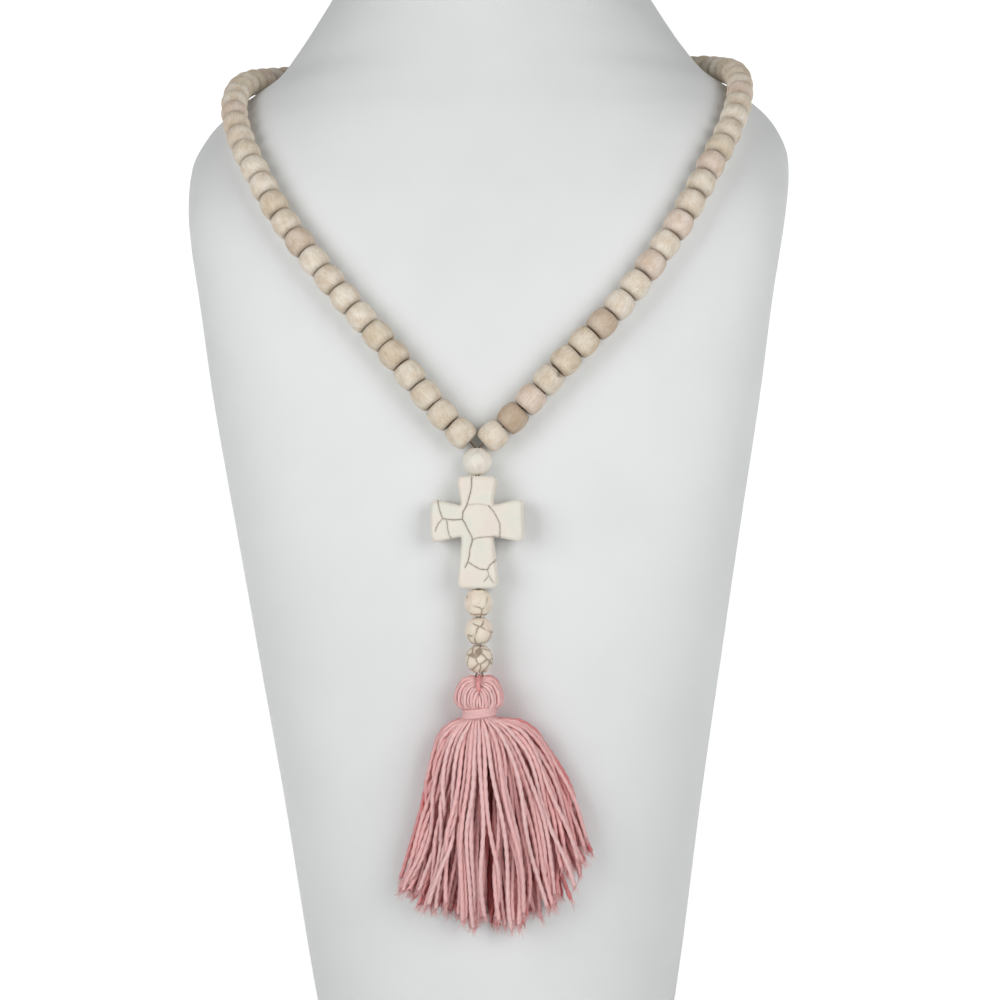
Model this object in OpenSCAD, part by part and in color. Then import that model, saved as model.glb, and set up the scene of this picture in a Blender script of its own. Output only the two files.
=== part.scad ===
// Tassel necklace on a neck bust: a loop of wooden beads over the shoulders,
// with a stone bead, a stone cross, three stone beads and a yarn tassel at the front.
// The bust stands on z = 0 and faces -y. The origin is the middle of its flat base.

/* [Display bust] */
// Height of the bust
bust_h = 460; // [420:5:500]
// Width across the shoulders
bust_w = 231; // [210:1:250]
// Reach of the chest in front of the origin
chest_d = 64; // [56:1:72]
// Reach of the back behind the origin
back_d = 84; // [76:1:92]

/* [Bead string] */
// Diameter of a wooden bead
bead_d = 10; // [8:0.5:12]
// Length of a wooden bead between its flat ends
bead_l = 8.3; // [7:0.1:8.8]
// Diameter of a wooden bead's flat ends
bead_flat_d = 7.2; // [6:0.1:7.4]
// Diameter of the drilled holes
hole_d = 2.2; // [2:0.1:2.6]
// Least gap between beads on the string
bead_gap = 0.55; // [0.5:0.05:0.8]
// Gap between the beads and the bust
rest_gap = 0.4; // [0.3:0.05:0.8]
// Diameter of the thread
thread_d = 0.6; // [0.4:0.05:0.7]

/* [Drop] */
// Diameter of the stone bead where the two sides join
junction_d = 10; // [9:0.5:12]
// Length of that bead between its flat ends
junction_l = 9.2; // [7:0.1:9.4]
// Diameter of each of the three stone beads under the cross
drop_bead_d = 9.6; // [8.5:0.1:10]
// Length of each of those beads between its flat ends
drop_bead_l = 9.3; // [7:0.1:9.3]
// Gap between the pieces of the drop
drop_gap = 0.4; // [0.3:0.05:0.6]

/* [Cross] */
// Reach of the top arm from the crossing
cross_top = 15.5; // [13:0.5:20]
// Reach of the bottom arm from the crossing
cross_bottom = 23.3; // [20:0.1:28]
// Reach of each side arm from the crossing
cross_side = 16; // [14:0.5:20]
// Thickness of the cross
cross_t = 8.4; // [6:0.1:9]
// Width of the flared ends of the top and bottom arms
cross_end_w = 14.2; // [12:0.1:16]
// Width of the flared ends of the side arms
cross_side_end_w = 15.6; // [12:0.1:17]
// Width of the arms where they leave the crossing
cross_waist_w = 10.6; // [9:0.1:11.5]
// Rounding of the arms' corners
cross_corner_r = 1.8; // [0.5:0.1:2.5]
// Bevel round the front and back faces
cross_bevel = 0.9; // [0.3:0.1:1.5]
// Turn of the cross on its thread, to the left
cross_turn = 3; // [0:0.5:3]

/* [Tassel] */
// Width of the folded head
head_w = 17; // [15:0.5:20]
// Height of the head above the binding
head_h = 10.7; // [10:0.1:13]
// Depth of the head from front to back
head_d = 12.4; // [11.5:0.1:13.5]
// Diameter of the yarn loop that the head hangs on
loop_wire_d = 1.5; // [1.2:0.1:1.7]
// Height of the binding round the tassel's neck
binding_h = 3.8; // [3:0.1:5]
// Thickness of the binding
binding_t = 0.8; // [0.6:0.1:1.5]
// Diameter of the tassel's neck under the binding
neck_d = 9.8; // [8:0.1:11]
// Length of the skirt below the binding
skirt_l = 76; // [65:1:85]
// Width of the skirt at its ends
skirt_w = 70; // [60:1:80]
// Thickness of the skirt where it is fullest
skirt_t = 20; // [16:1:24]

/* [Hidden] */

// Share of the height, half width as a share of half bust_w, front as a share of chest_d,
// back and the place of the widest point as shares of back_d, squareness
BUST = [
    [0.000, 0.540, 0.719, 0.60,  0.210, 2.50],
    [0.090, 0.603, 0.782, 0.65,  0.105, 2.50],
    [0.240, 0.680, 0.891, 0.71, -0.018, 2.50],
    [0.360, 0.747, 0.968, 0.76, -0.140, 2.50],
    [0.470, 0.811, 1.000, 0.81, -0.232, 2.50],
    [0.570, 0.873, 0.992, 0.86, -0.287, 2.50],
    [0.650, 0.917, 0.945, 0.90, -0.297, 2.40],
    [0.720, 0.967, 0.859, 0.95, -0.215, 2.30],
    [0.770, 0.993, 0.765, 0.99,  0.053, 2.20],
    [0.800, 0.969, 0.703, 1.00,  0.265, 2.15],
    [0.820, 0.921, 0.655, 1.00,  0.391, 2.10],
    [0.835, 0.833, 0.619, 1.00,  0.378, 2.10],
    [0.850, 0.741, 0.583, 1.00,  0.357, 2.10],
    [0.870, 0.667, 0.535, 0.98,  0.300, 2.10],
    [0.890, 0.613, 0.489, 0.96,  0.302, 2.10],
    [0.925, 0.530, 0.412, 0.90,  0.331, 2.10],
    [0.960, 0.458, 0.338, 0.85,  0.356, 2.10],
    [1.000, 0.407, 0.250, 0.81,  0.379, 2.10]
];
rings_per_section = 4;
bust_points = 48;

// Route of the beads over the bust: angle round it from the front, height on the left and on the right
// as shares of bust_h
ROUTE = [
    [0, 0.5317, 0.5308], [12, 0.6015, 0.5909], [24, 0.6561, 0.6389],
    [36, 0.7133, 0.6987], [48, 0.7802, 0.7735], [58, 0.8170, 0.8152],
    [68, 0.8313, 0.8311], [78, 0.8404, 0.8404], [88, 0.8478, 0.8485],
    [98, 0.8550, 0.8561], [110, 0.8604, 0.8617], [125, 0.8643, 0.8659],
    [145, 0.8646, 0.8663], [180, 0.8604, 0.8604]
];
route_steps = 120;

// Share of the skirt's length, growth from the neck to the left and right as shares of the growth in width,
// and to the front and back as a share of the growth in thickness
SKIRT = [
    [0.00, 0.000, 0.000, 0.00],
    [0.05, 0.115, 0.225, 0.27],
    [0.12, 0.170, 0.310, 0.62],
    [0.28, 0.230, 0.405, 0.90],
    [0.50, 0.300, 0.505, 1.00],
    [0.65, 0.350, 0.590, 0.93],
    [0.80, 0.435, 0.635, 0.78],
    [1.00, 0.520, 0.685, 0.42]
];
// Place across the skirt from left to right, length of the lock there as a share of skirt_l
LOCK_ENDS = [
    [-1.00, 0.80],
    [-0.65, 0.88],
    [-0.30, 0.94],
    [-0.10, 0.97],
    [0.24, 1.00],
    [0.60, 0.86],
    [0.76, 0.74],
    [1.00, 0.60]
];
locks = 26;
lock_points = 4;
lump_points = 16;
lump_rings = 8;
// Angle at a lump's ends that its flat caps close
lump_cap_angle = 8;
// Width of each of the head's two lobes as a share of the head's
lobe_share = 0.56;
// Width, depth and height of the lump between them as shares of the head's, and the height of its middle
MIDDLE_LUMP = [0.6, 0.72, 0.8];
middle_rise = 0.4;
// Height of the yarn ring inside the head as a share of head_h, and the yarn left round its ends
ring_share = 0.58;
ring_cover = 0.6;
lock_rings = 9;
lock_relief = 0.09;
lock_split = 0.08;
// Rings of a lock lie closer at its top by this power
lock_crowding = 1.3;
// The skirt settles against the chest within this share of its length
settle_share = 0.16;
// Height of the hollow between the locks' ends as a share of skirt_l
hollow_share = 0.9;
// Thickness lost towards the skirt's sides
side_thinning = 0.72;
// Core of the tassel as a share of neck_d, and how far its neck runs into the head and the skirt
core_share = 0.8;
neck_overlap = 1.5;

thread_sides = 8;
// Angle between the points of the thread's hook round the yarn ring
hook_step = 45;
loop_sides = 10;
loop_rings = 24;
corner_steps = 4;
round_fn = 48;
bead_steps = 6;
neck_fn = 24;
touch_gap = 0.2;
// Gap between the two legs of the thread in a drilled hole
leg_gap = 0.3;
// Angle and height over which the bust's outward direction is measured
normal_step = 0.6;
// Points of the route lie closer at the front by this power
route_crowding = 1.5;
// Middle of the thread's loop, seen from above, as a share of back_d
loop_middle = 0.4;
binding_turns = 3;

bust_color = [0.90, 0.90, 0.89];
wood_color = [0.86, 0.80, 0.72];
stone_color = [0.92, 0.89, 0.83];
thread_color = [0.80, 0.74, 0.64];
yarn_color = [0.87, 0.68, 0.68];
loop_color = [0.83, 0.55, 0.55];

// Vectors and curves

function unit(v) = v / norm(v);
function mix(a, b, t) = a + (b - a) * t;
function power(v, e) = v < 0 ? -pow(-v, e) : pow(v, e);
function column(table, c) = [for (row = table) [row[0], row[c]]];

// Slope of a table's column at row i
function slope(table, c, i) =
    let (lo = max(i - 1, 0), hi = min(i + 1, len(table) - 1))
    (table[hi][c] - table[lo][c]) / (table[hi][0] - table[lo][0]);

// Row of the table that starts the stretch holding key
function row_below(table, key, i = 0) =
    i >= len(table) - 2 || key < table[i + 1][0] ? i : row_below(table, key, i + 1);

// Smooth curve through a table's column
function smooth(table, c, key) =
    let (
        i = row_below(table, key),
        h = table[i + 1][0] - table[i][0],
        t = (key - table[i][0]) / h,
        t2 = t * t,
        t3 = t2 * t
    )
    (2 * t3 - 3 * t2 + 1) * table[i][c] + (t3 - 2 * t2 + t) * h * slope(table, c, i)
    + (3 * t2 - 2 * t3) * table[i + 1][c] + (t3 - t2) * h * slope(table, c, i + 1);

// Surface of the bust

function half_width(z) = smooth(BUST, 1, z / bust_h) * bust_w / 2;
function front_reach(z) = -smooth(BUST, 2, z / bust_h) * chest_d;
function back_reach(z) = smooth(BUST, 3, z / bust_h) * back_d;
function widest_y(z) = smooth(BUST, 4, z / bust_h) * back_d;
function squareness(z) = smooth(BUST, 5, z / bust_h);

// Point of the surface at an angle from the front, towards the right, and a height
function skin(angle, z) =
    let (
        e = 2 / squareness(z),
        s = power(sin(angle), e),
        c = power(cos(angle), e),
        wide = widest_y(z),
        reach = c > 0 ? wide - front_reach(z) : back_reach(z) - wide
    )
    [half_width(z) * s, wide - reach * c, z];

// Outward direction of the surface
function normal(angle, z) =
    let (
        along = skin(angle + normal_step, z) - skin(angle - normal_step, z),
        up = skin(angle, z + normal_step) - skin(angle, z - normal_step)
    )
    unit(cross(along, up));

// Front of the bust at a place beside the middle
function chest_y(x, z) =
    let (n = squareness(z), wide = widest_y(z))
    wide - (wide - front_reach(z)) * pow(1 - pow(abs(x) / half_width(z), n), 1 / n);

// Tubes along a path, one ring of corners for each point

function tangent(path, i, closed) =
    let (
        n = len(path),
        last = closed ? (i + n - 1) % n : max(i - 1, 0),
        next = closed ? (i + 1) % n : min(i + 1, n - 1)
    )
    unit(path[next] - path[last]);

function ring(centre, direction, outward, r, sides) =
    let (side = unit(cross(direction, outward)), out = cross(side, direction))
    [for (j = [0:sides - 1]) centre + r * (out * cos(360 * j / sides) + side * sin(360 * j / sides))];

// Walls between a ring of corners that starts at a and the next one up, that starts at b
function band(a, b, sides) =
    [for (j = [0:sides - 1]) let (k = (j + 1) % sides)
        each [[a + j, b + j, b + k], [a + j, b + k, a + k]]];
function bottom_cap(a, sides) = [for (j = [0:sides - 1]) a + j];
function top_cap(a, sides) = [for (j = [sides - 1:-1:0]) a + j];

module tube(path, radii, outwards, sides, closed = false) {
    n = len(path);
    points = [for (i = [0:n - 1]) each ring(path[i], tangent(path, i, closed), outwards[i], radii[i], sides)];
    walls = [for (i = [0:n - 2]) each band(i * sides, (i + 1) * sides, sides)];
    ends = closed
        ? band((n - 1) * sides, 0, sides)
        : [bottom_cap(0, sides), top_cap((n - 1) * sides, sides)];
    polyhedron(points, concat(walls, ends), convexity = 10);
}

// Route of the beads, followed at half a bead off the bust, with its length so far as the first column.
// The angles close up towards the front, where the two sides meet at a point

function route_point(angle, side) =
    let (z = smooth(ROUTE, side < 0 ? 1 : 2, angle) * bust_h)
    skin(side * angle, z) + normal(side * angle, z) * (bead_d / 2 + rest_gap);

function route(side) =
    let (p = [for (i = [0:route_steps]) route_point(180 * pow(i / route_steps, route_crowding), side)])
    [for (i = 0, s = 0; i <= route_steps; i = i + 1, s = s + (i <= route_steps ? norm(p[i] - p[i - 1]) : 0))
        [s, p[i].x, p[i].y, p[i].z]];

function on_route(route, s) = [for (c = [1:3]) lookup(s, column(route, c))];

// The drilled holes meet at joints, one bead apart. The first bead clears the middle plane
// by half a gap, and the last joint is on it at the nape
function string_joints(route) =
    let (
        length = route[route_steps][0],
        beside = [for (i = [0:route_steps / 2]) [abs(route[i][1]), route[i][0]]],
        start = lookup((max(bead_d, norm([bead_flat_d, bead_l])) + bead_gap) / 2, beside),
        count = floor((length - start) / (bead_l + bead_gap) + 0.5),
        pitch = (length - start) / (count - 0.5)
    )
    [for (k = [0:count]) on_route(route, start + (k - 0.5) * pitch)];

joints_left = string_joints(route(-1));
joints_right = string_joints(route(1));

// Heights and depth of the drop, from the first beads down

drop_y = -(chest_d + max(junction_d, drop_bead_d, cross_t) / 2 + rest_gap);
join_reach = (junction_d + bead_d) / 2 + bead_gap;

// The junction bead hangs just under the first bead of each side
function under_bead(joints) =
    let (b = (joints[0] + joints[1]) / 2)
    b.z - sqrt(pow(join_reach, 2) - pow(b.x, 2) - pow(b.y - drop_y, 2));

junction_z = min(under_bead(joints_left), under_bead(joints_right));
cross_z = junction_z - junction_l / 2 - drop_gap - cross_top;
drop_top = cross_z - cross_bottom - drop_gap;
drop_pitch = drop_bead_l + drop_gap;
drop_bottom = drop_top - 3 * drop_pitch + drop_gap;
loop_top = drop_bottom - drop_gap - loop_wire_d / 2;
head_base = loop_top - head_h;
skirt_top = head_base - binding_h;

leg_x = (thread_d + leg_gap) / 2;
hook_r = (loop_wire_d + thread_d) / 2 + touch_gap;
loop_reach_y = head_d / 2 - ring_cover;
loop_reach_z = ring_share * head_h / 2;

function outward(p) = unit([p.x, p.y - loop_middle * back_d, 0]);
function flip(p) = [-p.x, p.y, p.z];
function reversed(list) = [for (i = [len(list) - 1:-1:0]) list[i]];

module display_bust() {
    n = (len(BUST) - 1) * rings_per_section;
    heights = [for (i = [0:n])
        let (k = min(floor(i / rings_per_section), len(BUST) - 2), t = i / rings_per_section - k)
        mix(BUST[k][0], BUST[k + 1][0], t) * bust_h];
    points = [for (z = heights) for (j = [0:bust_points - 1]) skin(360 * j / bust_points, z)];
    walls = [for (i = [0:n - 1]) each band(i * bust_points, (i + 1) * bust_points, bust_points)];
    caps = [bottom_cap(0, bust_points), top_cap(n * bust_points, bust_points)];
    color(bust_color) polyhedron(points, concat(walls, caps), convexity = 4);
}

// A round stone bead with flat ends, drilled along z
module drilled_bead(d, l) {
    rotate_extrude($fn = round_fn) intersection() {
        circle(d = d, $fn = round_fn);
        translate([hole_d / 2, -l / 2]) square([d, l]);
    }
}

// A wooden bead is a barrel with flat ends. Its side is turned in short straight steps
// on an arc through the rims of its ends
module barrel_bead() {
    rim = [bead_flat_d, bead_l] / 2;
    centre = (pow(bead_d / 2, 2) - rim * rim) / (bead_d - bead_flat_d);
    r = bead_d / 2 - centre;
    swing = atan2(rim.y, rim.x - centre);
    side = [
        for (i = [0:bead_steps])
            let (a = swing * (2 * i / bead_steps - 1))
            [centre + r * cos(a), r * sin(a)]
    ];
    hole = [[hole_d / 2, rim.y], [hole_d / 2, -rim.y]];
    rotate_extrude($fn = round_fn) polygon(concat(side, hole));
}

module bead_between(a, b) {
    v = b - a;
    translate((a + b) / 2) rotate([0, acos(v.z / norm(v)), atan2(v.y, v.x)]) barrel_bead();
}

module bead_string(joints) {
    color(wood_color) for (k = [0:len(joints) - 2]) bead_between(joints[k], joints[k + 1]);
}

module bead_string_left() {
    bead_string(joints_left);
}

module bead_string_right() {
    bead_string(joints_right);
}

// One closed thread: down the drop, round the yarn loop, up the drop and round both strings
module thread() {
    left_leg = [
        [-leg_x, drop_y, junction_z + junction_l / 2],
        [-leg_x, drop_y, cross_z],
        [-leg_x, drop_y, drop_bottom + drop_bead_l / 2],
        [-leg_x, drop_y, drop_bottom + thread_d],
        for (a = [-hook_step:hook_step:90 - hook_step]) [-hook_r * cos(a), drop_y, loop_top - hook_r * sin(a)]
    ];
    under_ring = [[0, drop_y, loop_top - hook_r]];
    right_leg = [for (p = reversed(left_leg)) flip(p)];
    right_without_nape = [for (k = [0:len(joints_right) - 2]) joints_right[k]];
    path = concat(reversed(joints_left), left_leg, under_ring, right_leg, right_without_nape);
    radii = [for (p = path) thread_d / 2];
    outwards = [for (p = path) outward(p)];
    color(thread_color) tube(path, radii, outwards, thread_sides, true);
}

module junction_bead() {
    color(stone_color) translate([0, drop_y, junction_z]) drilled_bead(junction_d, junction_l);
}

// Corner of the cross's outline, rounded between the directions before and after it
function rounded_corner(p, before, after, r) =
    let (
        a = unit(before - p),
        b = unit(after - p),
        half = acos(a * b) / 2,
        centre = p + unit(a + b) * r / sin(half),
        start = p + a * r / tan(half) - centre,
        finish = p + b * r / tan(half) - centre
    )
    [for (i = [0:corner_steps]) centre + r * unit(mix(start, finish, i / corner_steps))];

// One flared arm, drawn upwards and turned to its place
function arm(reach, end_w, turn, inset) =
    let (
        root = cross_waist_w / 2,
        tip = end_w / 2,
        right = [[root, root], [tip, reach]],
        left = [[-tip, reach], [-root, root]],
        shape = concat(
            [[root - inset, root - inset]],
            rounded_corner([tip - inset, reach - inset], right[0] - [inset, 0], left[0], cross_corner_r),
            rounded_corner([-tip + inset, reach - inset], right[1], left[1] + [inset, 0], cross_corner_r)
        )
    )
    [for (p = shape) [p.x * cos(turn) - p.y * sin(turn), p.x * sin(turn) + p.y * cos(turn)]];

module cross_slice(inset, thickness) {
    outline = reversed(concat(
        arm(cross_top, cross_end_w, 0, inset),
        arm(cross_side, cross_side_end_w, 90, inset),
        arm(cross_bottom, cross_end_w, 180, inset),
        arm(cross_side, cross_side_end_w, 270, inset)
    ));
    translate([0, thickness / 2, 0]) rotate([90, 0, 0]) linear_extrude(thickness) polygon(outline);
}

module cross() {
    color(stone_color) translate([0, drop_y, cross_z]) rotate(-cross_turn) difference() {
        union() {
            cross_slice(0, cross_t - 2 * cross_bevel);
            cross_slice(cross_bevel / 3, cross_t - cross_bevel);
            cross_slice(cross_bevel, cross_t);
        }
        translate([0, 0, -cross_bottom - 1])
            cylinder(d = hole_d, h = cross_top + cross_bottom + 2, $fn = round_fn);
    }
}

module drop_bead(index) {
    z = drop_top - drop_bead_l / 2 - index * drop_pitch;
    color(stone_color) translate([0, drop_y, z]) drilled_bead(drop_bead_d, drop_bead_l);
}

module drop_bead_1() { drop_bead(0); }
module drop_bead_2() { drop_bead(1); }
module drop_bead_3() { drop_bead(2); }

// A ring of yarn, seen edge on from the front, that the head is folded over
module yarn_ring(wire_d) {
    centre_z = loop_top - loop_reach_z;
    path = [for (i = [0:loop_rings - 1]) let (a = 360 * i / loop_rings)
        [0, drop_y + loop_reach_y * sin(a), centre_z + loop_reach_z * cos(a)]];
    tube(path, [for (p = path) wire_d / 2], [for (p = path) [1, 0, 0]], loop_sides, true);
}

module hanging_loop() {
    color(loop_color) yarn_ring(loop_wire_d);
}

// An egg-shaped lump of yarn
module lump(centre, size) {
    points = [
        for (i = [0:lump_rings]) for (j = [0:lump_points - 1])
            let (a = mix(180 - lump_cap_angle, lump_cap_angle, i / lump_rings), b = 360 * j / lump_points)
            centre + [size.x * sin(a) * cos(b), size.y * sin(a) * sin(b), size.z * cos(a)] / 2
    ];
    walls = [for (i = [0:lump_rings - 1]) each band(i * lump_points, (i + 1) * lump_points, lump_points)];
    caps = [bottom_cap(0, lump_points), top_cap(lump_rings * lump_points, lump_points)];
    polyhedron(points, concat(walls, caps), convexity = 4);
}

module head() {
    lobe = [lobe_share * head_w, head_d, head_h];
    lump_base = head_base + touch_gap;
    difference() {
        union() {
            for (side = [-1, 1])
                lump([side * (head_w - lobe.x) / 2, drop_y, lump_base + head_h / 2], lobe);
            lump([0, drop_y, lump_base + middle_rise * head_h],
                 [MIDDLE_LUMP.x * head_w, MIDDLE_LUMP.y * head_d, MIDDLE_LUMP.z * head_h]);
        }
        yarn_ring(loop_wire_d + 2 * touch_gap);
        translate([0, drop_y, loop_top - hook_r - thread_d])
            cylinder(r = hook_r + thread_d, h = head_h, $fn = neck_fn);
    }
}

// Place across the skirt at a share of its length, and its thickness there
function skirt_x(u, s) = u * (neck_d / 2 + smooth(SKIRT, u < 0 ? 1 : 2, s) * (skirt_w - neck_d));
function skirt_depth(u, s) =
    (neck_d + smooth(SKIRT, 3, s) * (skirt_t - neck_d)) * sqrt(1 - side_thinning * u * u);

// Point of the skirt's surface at u, -1 to 1 across it, on the front (side -1) or the back (side 1).
// The locks are ribs: crest runs from 0 in the groove beside a lock to 1 on the lock,
// and a groove ends higher than its locks
function skirt_point(s, u, side, crest) =
    let (
        relief = 1 - lock_relief * min(1, 3 * s) * (1 - crest),
        down = s * lookup(u, LOCK_ENDS) * mix(1 - lock_split, 1, crest),
        z = skirt_top - down * skirt_l,
        x = skirt_x(u, down) * relief,
        depth = skirt_depth(u, down),
        middle = chest_y(x, z) - rest_gap - depth / 2,
        t = min(1, down / settle_share),
        centre = mix(drop_y, middle, t * t * (3 - 2 * t))
    )
    [x, centre + side * depth / 2 * sqrt(1 - u * u) * relief, z];

// The locks run across the front from left to right and back behind it, all fused in one skirt
module skirt() {
    half = locks * lock_points / 2;
    n = 2 * half;
    across = [for (j = [0:n - 1]) j < half ? 2 * j / half - 1 : 3 - 2 * j / half];
    core_r = core_share * neck_d / 2;
    core = [for (j = [0:n - 1]) let (side = j < half ? -1 : 1, u = across[j])
        [core_r * u, drop_y + side * core_r * sqrt(1 - u * u), skirt_top + binding_h / 3]];
    rings = [for (i = [lock_rings:-1:0]) for (j = [0:n - 1])
        let (crest = 0.5 + 0.5 * cos(360 * (j % lock_points) / lock_points))
        skirt_point(pow(i / lock_rings, lock_crowding), across[j], j < half ? -1 : 1, crest)];
    hollow_z = skirt_top - hollow_share * skirt_l;
    hollow = [0, chest_y(0, hollow_z) - rest_gap - skirt_depth(0, hollow_share) / 2, hollow_z];
    points = concat(rings, core, [hollow]);
    walls = [for (i = [0:lock_rings]) each band(i * n, (i + 1) * n, n)];
    bottom = [for (j = [0:n - 1]) [j, (j + 1) % n, len(points) - 1]];
    polyhedron(points, concat(walls, [top_cap((lock_rings + 1) * n, n)], bottom), convexity = 10);
}

module neck() {
    translate([0, drop_y, skirt_top - neck_overlap])
        cylinder(d = neck_d, h = binding_h + 2 * neck_overlap, $fn = neck_fn);
}

module tassel() {
    color(yarn_color) union() {
        head();
        neck();
        skirt();
    }
}

module tassel_binding() {
    inner_r = neck_d / 2 + touch_gap;
    height = binding_h - 2 * touch_gap;
    turn_h = height / binding_turns;
    color(yarn_color) translate([0, drop_y, skirt_top + touch_gap]) rotate_extrude($fn = round_fn)
        translate([inner_r, 0]) union() {
            square([binding_t / 2, height]);
            intersection() {
                square([binding_t, height]);
                for (i = [0:binding_turns - 1])
                    translate([binding_t - turn_h / 2, (i + 0.5) * turn_h]) circle(d = turn_h, $fn = 16);
            }
        }
}

display_bust();
bead_string_left();
bead_string_right();
thread();
junction_bead();
cross();
drop_bead_1();
drop_bead_2();
drop_bead_3();
hanging_loop();
tassel();
tassel_binding();
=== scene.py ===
"""Looks of a tassel necklace on a neck bust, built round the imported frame.

Lengths are in metres, and MM turns millimetres into metres. The bust stands on z = 0 and faces -Y.
"""

import logging
import math
import random
from collections.abc import Iterable, Sequence
from dataclasses import dataclass, field
from enum import Enum

import bmesh
import bpy
import numpy as np
from mathutils import Matrix, Vector, noise
from mathutils.bvhtree import BVHTree
from mathutils.kdtree import KDTree

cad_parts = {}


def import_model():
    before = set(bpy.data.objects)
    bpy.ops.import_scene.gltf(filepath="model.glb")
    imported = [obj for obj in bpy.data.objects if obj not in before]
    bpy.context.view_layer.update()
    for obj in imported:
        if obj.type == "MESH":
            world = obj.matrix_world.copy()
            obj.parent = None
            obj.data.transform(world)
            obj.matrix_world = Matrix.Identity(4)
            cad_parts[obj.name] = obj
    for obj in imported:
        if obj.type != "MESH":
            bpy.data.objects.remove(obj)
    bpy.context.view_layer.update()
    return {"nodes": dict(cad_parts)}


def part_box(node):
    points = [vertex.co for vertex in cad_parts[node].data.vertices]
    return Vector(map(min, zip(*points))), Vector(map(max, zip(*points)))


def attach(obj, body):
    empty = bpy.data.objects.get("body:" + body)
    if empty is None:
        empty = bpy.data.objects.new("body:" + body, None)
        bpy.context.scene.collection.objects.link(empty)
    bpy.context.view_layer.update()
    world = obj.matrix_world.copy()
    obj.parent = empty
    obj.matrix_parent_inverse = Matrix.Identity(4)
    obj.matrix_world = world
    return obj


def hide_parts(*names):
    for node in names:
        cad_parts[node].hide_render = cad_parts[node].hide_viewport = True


MM = 0.001
BODY = "root"
STONE_SEED = 7

log = logging.getLogger("necklace")


class Side(Enum):
    """The two sides of the necklace, with the sign of x on each."""

    LEFT = -1
    RIGHT = 1


class WoodTone(Enum):
    """Tone of a wooden bead, as its place on the wood's colour ramp."""

    PALE = 0.08
    CREAM = 0.30
    ROSE = 0.52
    STRAW = 0.72
    TAN = 0.88
    BROWN = 1.0


def linear(colour: str) -> tuple[float, float, float, float]:
    """Turns an sRGB hex colour into linear values.

    Args:
        colour: Six hex digits.

    Returns:
        Red, green, blue and an alpha of one.
    """
    shares = [int(colour[i : i + 2], 16) / 255 for i in (0, 2, 4)]
    return (*(s / 12.92 if s <= 0.04045 else ((s + 0.055) / 1.055) ** 2.4 for s in shares), 1.0)


def set_stops(ramp: bpy.types.ColorRamp, stops: Sequence[tuple[float, str]]) -> None:
    """Sets the stops of a colour ramp.

    Args:
        ramp: The ramp, which has no more stops than it gets.
        stops: Places and sRGB hex colours, in order.
    """
    while len(ramp.elements) < len(stops):
        ramp.elements.new(1.0)
    for element, (place, colour) in zip(ramp.elements, stops):
        element.position = place
        element.color = linear(colour)


def add_node(
    tree: bpy.types.NodeTree,
    kind: str,
    settings: dict[str, object] | None = None,
    inputs: dict[str | int, object] | None = None,
) -> bpy.types.Node:
    """Adds a node with its settings and links.

    Args:
        tree: The tree that gets the node.
        kind: Blender's name for the kind of node.
        settings: The node's own properties, or a colour ramp's stops under that name.
        inputs: A value, or the socket that it comes from, for each input.

    Returns:
        The node.
    """
    node = tree.nodes.new(kind)
    for name, value in (settings or {}).items():
        if name == "stops":
            set_stops(node.color_ramp, value)
        else:
            setattr(node, name, value)
    for name, value in (inputs or {}).items():
        if isinstance(value, bpy.types.NodeSocket):
            tree.links.new(value, node.inputs[name])
        else:
            node.inputs[name].default_value = value
    return node


def new_material(
    name: str, values: dict[str, object]
) -> tuple[bpy.types.Material, bpy.types.NodeTree, bpy.types.Node]:
    """Makes a material with one shader.

    Args:
        name: The real finish's name.
        values: The shader's fixed inputs.

    Returns:
        The material, its tree and its shader.
    """
    material = bpy.data.materials.new(name)
    material.use_nodes = True
    tree = material.node_tree
    shader = tree.nodes["Principled BSDF"]
    for socket, value in values.items():
        shader.inputs[socket].default_value = value
    return material, tree, shader


def cover(
    tree: bpy.types.NodeTree,
    shader: bpy.types.Node,
    colour: bpy.types.NodeSocket,
    height: bpy.types.NodeSocket,
    depth: float,
) -> None:
    """Gives a shader its colour and its relief.

    Args:
        tree: The tree of both.
        shader: The shader.
        colour: The colour.
        height: Height of the relief as a share of its depth.
        depth: Real depth of the relief.
    """
    relief = add_node(tree, "ShaderNodeBump", inputs={"Height": height, "Distance": depth, "Strength": 1.0})
    tree.links.new(colour, shader.inputs["Base Color"])
    tree.links.new(relief.outputs["Normal"], shader.inputs["Normal"])


@dataclass(frozen=True)
class MattPaint:
    """Matt white paint sprayed on moulded plastic: it scatters light evenly, with a faint orange peel."""

    name: str = "matt_white_paint"
    light: str = "ECEEEE"
    shade: str = "E9EBEB"
    roughness: float = 0.62
    patch: float = 38 * MM
    peel: float = 1.6 * MM
    peel_depth: float = 0.02 * MM

    def material(self) -> bpy.types.Material:
        """Makes the paint's material.

        Returns:
            The material.
        """
        material, tree, shader = new_material(self.name, {"Roughness": self.roughness})
        place = add_node(tree, "ShaderNodeTexCoord").outputs["Object"]
        patches, peel = (
            add_node(
                tree, "ShaderNodeTexNoise", inputs={"Vector": place, "Scale": 1 / width, "Detail": detail}
            ).outputs["Fac"]
            for width, detail in ((self.patch, 2.0), (self.peel, 1.0))
        )
        stops = [(0.35, self.shade), (0.65, self.light)]
        colour = add_node(tree, "ShaderNodeValToRGB", {"stops": stops}, {"Fac": patches}).outputs["Color"]
        cover(tree, shader, colour, peel, self.peel_depth)
        return material


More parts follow.
